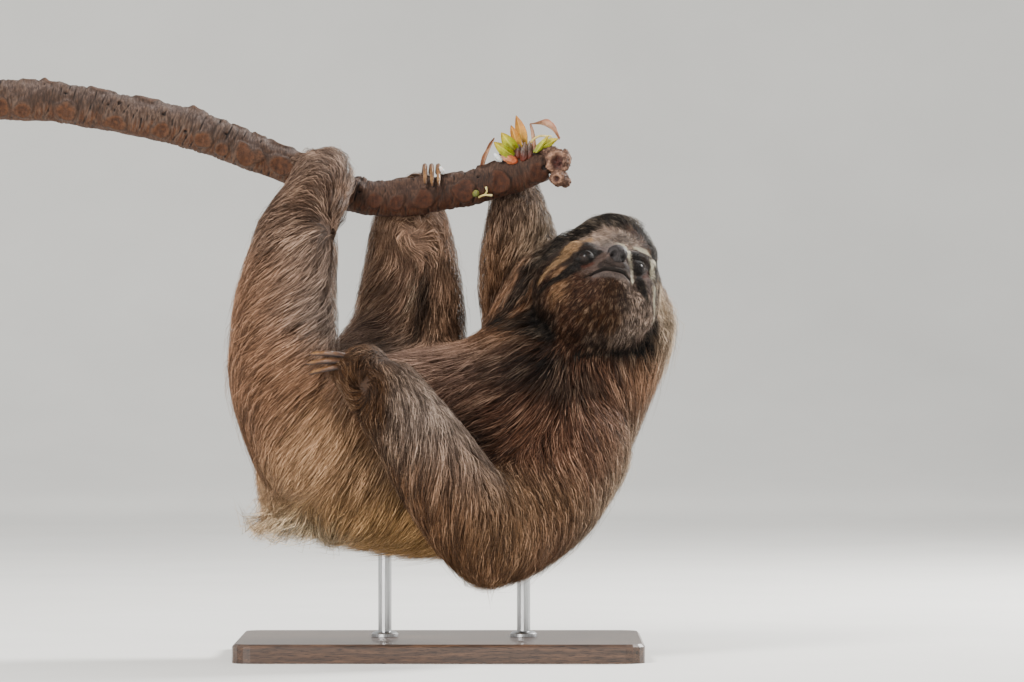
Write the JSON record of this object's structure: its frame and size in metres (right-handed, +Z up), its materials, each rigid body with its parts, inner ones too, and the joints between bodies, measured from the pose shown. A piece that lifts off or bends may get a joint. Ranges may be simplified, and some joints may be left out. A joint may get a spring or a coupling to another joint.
{
  "type": "three-toed sloth on a branch",
  "caption": "Life-size still museum model of a brown-throated three-toed sloth hanging belly up from a cut branch, face turned aside, on a flat base with rods.",
  "frame": {"origin": "middle of the underside of the stand's base", "axes": "+Z up; +X along the branch towards its growing tip, where the head is; -Y towards the animal's left side, which faces the viewer"},
  "size_m": [0.512, 0.2373, 0.429],
  "materials": {
    "coat": "dense brown and grey hair in locks",
    "face": "short hair over dark skin",
    "eye": "wet and glossy",
    "nose_leather": "bare pebbled skin",
    "claw_horn": "worn horn with fine grooves",
    "bark": "ringed bark with leaf scars",
    "young_leaf": "soft waxy leaf",
    "dry_leaf": "dry curled leaf",
    "steel": "brushed round bar",
    "base_board": "dark stained board, satin"
  },
  "bodies": {
    "root": {"head": "face", "nose": "nose_leather", "eye_left": "eye", "eye_right": "eye", "ear_left": "face", "ear_right": "face", "neck": "coat", "trunk": "coat", "tail": "coat", "upper_arm_left": "coat", "forearm_left": "coat", "hand_left": "coat", "upper_arm_right": "coat", "forearm_right": "coat", "hand_right": "coat", "thigh_left": "coat", "shank_left": "coat", "foot_left": "coat", "thigh_right": "coat", "shank_right": "coat", "foot_right": "coat", "claw_hand_left_1": "claw_horn", "claw_hand_left_2": "claw_horn", "claw_hand_left_3": "claw_horn", "claw_hand_right_1": "claw_horn", "claw_hand_right_2": "claw_horn", "claw_hand_right_3": "claw_horn", "claw_foot_left_1": "claw_horn", "claw_foot_left_2": "claw_horn", "claw_foot_left_3": "claw_horn", "claw_foot_right_1": "claw_horn", "claw_foot_right_2": "claw_horn", "claw_foot_right_3": "claw_horn", "branch": "bark", "leaf_tall": "young_leaf", "leaf_cupped": "young_leaf", "leaf_low": "young_leaf", "leaf_right": "young_leaf", "leaf_dry_over": "dry_leaf", "leaf_dry_left": "dry_leaf", "stand_base": "base_board", "stand_rod_front": "steel", "stand_rod_back": "steel"}
  },
  "joints": []
}
